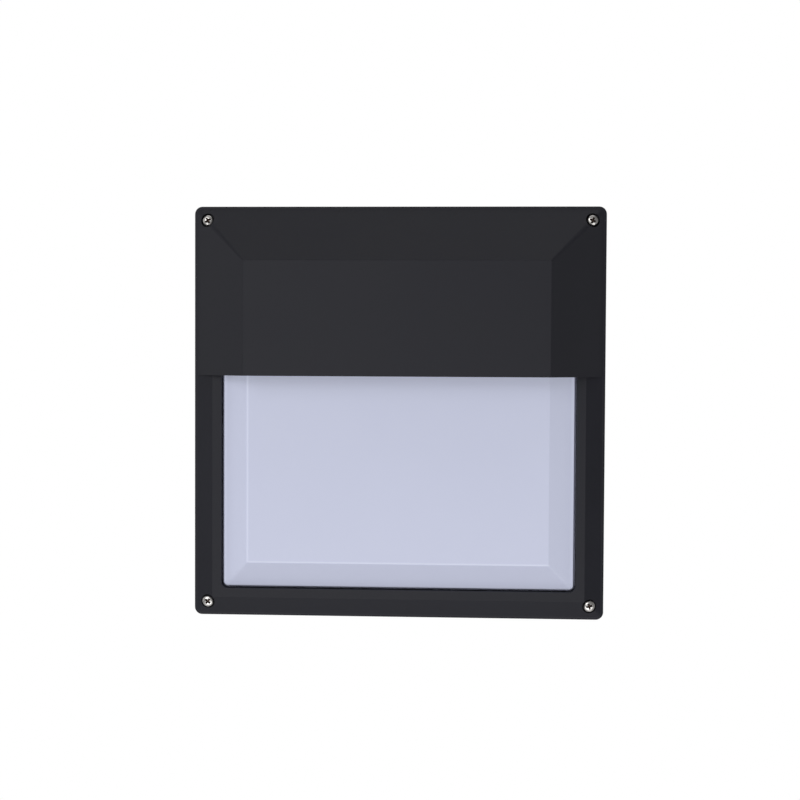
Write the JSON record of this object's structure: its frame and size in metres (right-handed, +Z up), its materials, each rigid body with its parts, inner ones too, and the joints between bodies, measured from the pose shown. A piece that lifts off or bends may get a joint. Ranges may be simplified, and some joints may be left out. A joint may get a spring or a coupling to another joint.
{
  "type": "outdoor wall lantern",
  "caption": "Square bulkhead wall lantern: die-cast box, hooded cover held by corner screws, opal bevelled diffuser, screw-in lamp on a side lampholder.",
  "frame": {"origin": "middle of the wall face, where the back plate meets the wall", "axes": "+Z up, +Y into the wall, -Y out of the front, +X to the right seen from the front; millimetre part source, metres here"},
  "size_m": [0.28, 0.105, 0.28],
  "materials": {
    "powder_coat": "charcoal fine-texture powder coat on die-cast aluminium",
    "opal_diffuser": "opal polycarbonate, satin",
    "black_rubber": "matt black moulded rubber",
    "grey_silicone": "grey silicone, satin",
    "stainless": "stainless steel, turned",
    "zinc_steel": "zinc-plated steel",
    "white_sheet": "white gloss enamel on sheet steel",
    "porcelain": "glazed white porcelain",
    "brass": "machined brass",
    "tinned_copper": "tinned copper",
    "nylon": "natural white nylon",
    "live_insulation": "brown PVC",
    "neutral_insulation": "blue PVC",
    "earth_insulation": "green and yellow PVC",
    "lamp_cap_metal": "nickel-plated aluminium",
    "lamp_insulator": "black glass",
    "lamp_collar": "white moulded plastic",
    "lamp_globe": "opal plastic, satin",
    "lamp_board": "white aluminium circuit board"
  },
  "bodies": {
    "base": {"base_housing": "powder_coat", "bracket_nuts": "zinc_steel", "bracket_screws": "zinc_steel", "cable_grommet": "black_rubber", "earth_lug": "tinned_copper", "earth_screw": "zinc_steel", "earth_washer": "zinc_steel", "earth_wire": "earth_insulation", "holder_bracket": "zinc_steel", "lampholder_body": "porcelain", "lampholder_contact": "brass", "lampholder_fixing_screws": "zinc_steel", "lampholder_sleeve": "lamp_cap_metal", "lampholder_terminal_screws": "zinc_steel", "lampholder_terminals": "brass", "live_wire": "live_insulation", "main_gasket": "grey_silicone", "neutral_wire": "neutral_insulation", "reflector_tray": "white_sheet", "terminal_block": "nylon", "terminal_block_screws": "zinc_steel", "terminal_screws": "zinc_steel", "terminal_tubes": "brass", "tray_screws": "zinc_steel"},
    "cover": {"front_cover": "powder_coat", "diffuser": "opal_diffuser", "diffuser_gasket": "grey_silicone", "diffuser_washers": "stainless", "diffuser_screws": "stainless"},
    "lamp_tip": {"lamp_contact": "tinned_copper"},
    "lamp": {"lamp_globe": "lamp_globe", "lamp_collar": "lamp_collar", "lamp_board": "lamp_board", "lamp_cap": "lamp_cap_metal", "lamp_insulator": "lamp_insulator"},
    "cover_screw_ring_top_left": {"cover_screw_ring_top_left": "black_rubber"},
    "cover_screw_top_left": {"cover_screw_top_left": "stainless"},
    "cover_screw_ring_top_right": {"cover_screw_ring_top_right": "black_rubber"},
    "cover_screw_top_right": {"cover_screw_top_right": "stainless"},
    "cover_screw_ring_bottom_left": {"cover_screw_ring_bottom_left": "black_rubber"},
    "cover_screw_bottom_left": {"cover_screw_bottom_left": "stainless"},
    "cover_screw_ring_bottom_right": {"cover_screw_ring_bottom_right": "black_rubber"},
    "cover_screw_bottom_right": {"cover_screw_bottom_right": "stainless"}
  },
  "joints": [
    {"name": "cover_lift_off", "type": "slide", "parent": "base", "child": "cover", "axis": [0, -1, 0], "range_m": [0, 0.12]},
    {"name": "lamp_advance", "type": "slide", "parent": "base", "child": "lamp_tip", "axis": [1, 0, 0], "range_m": [0, 0.0254]},
    {"name": "lamp_turn", "type": "hinge", "parent": "lamp_tip", "child": "lamp", "pos_m": [-0.084, -0.043, 0], "axis": [1, 0, 0], "range_deg": [0, 2540]},
    {"name": "screw_advance_top_left", "type": "slide", "parent": "cover", "child": "cover_screw_ring_top_left", "axis": [0, -1, 0], "range_m": [0, 0.0168]},
    {"name": "screw_turn_top_left", "type": "hinge", "parent": "cover_screw_ring_top_left", "child": "cover_screw_top_left", "pos_m": [-0.13, -0.071, 0.13], "axis": [0, -1, 0], "range_deg": [0, 8700]},
    {"name": "screw_advance_top_right", "type": "slide", "parent": "cover", "child": "cover_screw_ring_top_right", "axis": [0, -1, 0], "range_m": [0, 0.0168]},
    {"name": "screw_turn_top_right", "type": "hinge", "parent": "cover_screw_ring_top_right", "child": "cover_screw_top_right", "pos_m": [0.13, -0.071, 0.13], "axis": [0, -1, 0], "range_deg": [0, 8700]},
    {"name": "screw_advance_bottom_left", "type": "slide", "parent": "cover", "child": "cover_screw_ring_bottom_left", "axis": [0, -1, 0], "range_m": [0, 0.0168]},
    {"name": "screw_turn_bottom_left", "type": "hinge", "parent": "cover_screw_ring_bottom_left", "child": "cover_screw_bottom_left", "pos_m": [-0.13, -0.071, -0.13], "axis": [0, -1, 0], "range_deg": [0, 8700]},
    {"name": "screw_advance_bottom_right", "type": "slide", "parent": "cover", "child": "cover_screw_ring_bottom_right", "axis": [0, -1, 0], "range_m": [0, 0.0168]},
    {"name": "screw_turn_bottom_right", "type": "hinge", "parent": "cover_screw_ring_bottom_right", "child": "cover_screw_bottom_right", "pos_m": [0.13, -0.071, -0.13], "axis": [0, -1, 0], "range_deg": [0, 8700]}
  ],
  "couplings": [
    {"joint": "lamp_turn", "follows": "lamp_advance", "rad_per_m": 1731.6},
    {"joint": "screw_turn_top_left", "follows": "screw_advance_top_left", "rad_per_m": 8976},
    {"joint": "screw_turn_top_right", "follows": "screw_advance_top_right", "rad_per_m": 8976},
    {"joint": "screw_turn_bottom_left", "follows": "screw_advance_bottom_left", "rad_per_m": 8976},
    {"joint": "screw_turn_bottom_right", "follows": "screw_advance_bottom_right", "rad_per_m": 8976}
  ]
}
